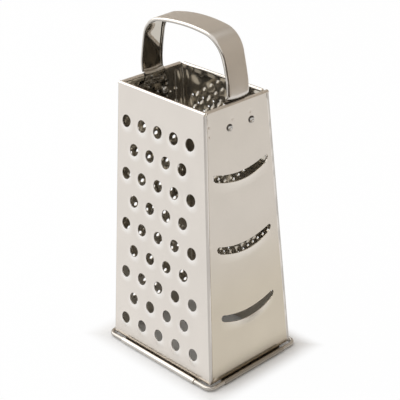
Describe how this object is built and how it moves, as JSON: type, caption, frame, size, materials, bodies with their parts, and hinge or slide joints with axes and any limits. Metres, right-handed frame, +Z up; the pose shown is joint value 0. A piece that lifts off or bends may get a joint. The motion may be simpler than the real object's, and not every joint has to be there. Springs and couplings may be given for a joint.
{
  "type": "box grater",
  "caption": "Four-sided box grater of thin stainless sheet with coarse, medium, fine and slicing sides, a wire-rolled base and a riveted strip handle.",
  "frame": {"origin": "centre of the base on the floor", "axes": "+Z up, -Y towards the coarse side, +X towards the slicing side"},
  "size_m": [0.1024, 0.0816, 0.2275],
  "materials": {
    "body_sheet": "satin",
    "handle_strip": "satin",
    "wire": "drawn",
    "rivet": "bright"
  },
  "bodies": {
    "root": {"coarse_panel": "body_sheet", "fine_panel": "body_sheet", "medium_panel": "body_sheet", "slicing_panel": "body_sheet", "handle": "handle_strip", "base_wire": "wire", "slicing_side_rivets": "rivet", "medium_side_rivets": "rivet"}
  },
  "joints": []
}
